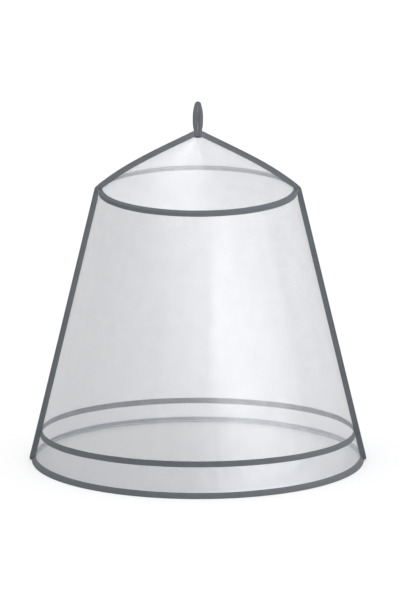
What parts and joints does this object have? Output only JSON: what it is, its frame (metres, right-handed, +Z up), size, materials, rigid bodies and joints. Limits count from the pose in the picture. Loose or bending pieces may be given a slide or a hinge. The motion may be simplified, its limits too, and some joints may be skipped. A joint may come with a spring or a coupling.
{
  "type": "mosquito net canopy with hoop",
  "caption": "Bell-shaped hanging mosquito net: a loop, a cone roof over a round hoop, a flared sheer wall, a lower band and a bound hem.",
  "frame": {"origin": "the hanging point: the top of the loop's eye, where a ceiling hook bears", "axes": "+Z up, towards the ceiling; -Y is the front, and the side seams lie at +X and -X"},
  "size_m": [2.2908, 2.2584, 2.509],
  "materials": {
    "netting": "sheer silver-grey polyester netting",
    "band_netting": "closer silver-grey netting",
    "tape": "dark grey ribbed tape",
    "rod": "matte plastic rod"
  },
  "bodies": {
    "root": {"hanging_loop": "tape", "tip_patch": "tape", "roof_front": "netting", "roof_back": "netting", "hoop": "rod", "hoop_tunnel": "tape", "wall_front": "netting", "wall_back": "netting", "side_seam_left": "tape", "side_seam_right": "tape", "band_front": "band_netting", "band_back": "band_netting", "band_tape_front": "tape", "band_tape_back": "tape", "band_tape_inside_front": "tape", "band_tape_inside_back": "tape", "hem_binding": "tape"}
  },
  "joints": []
}
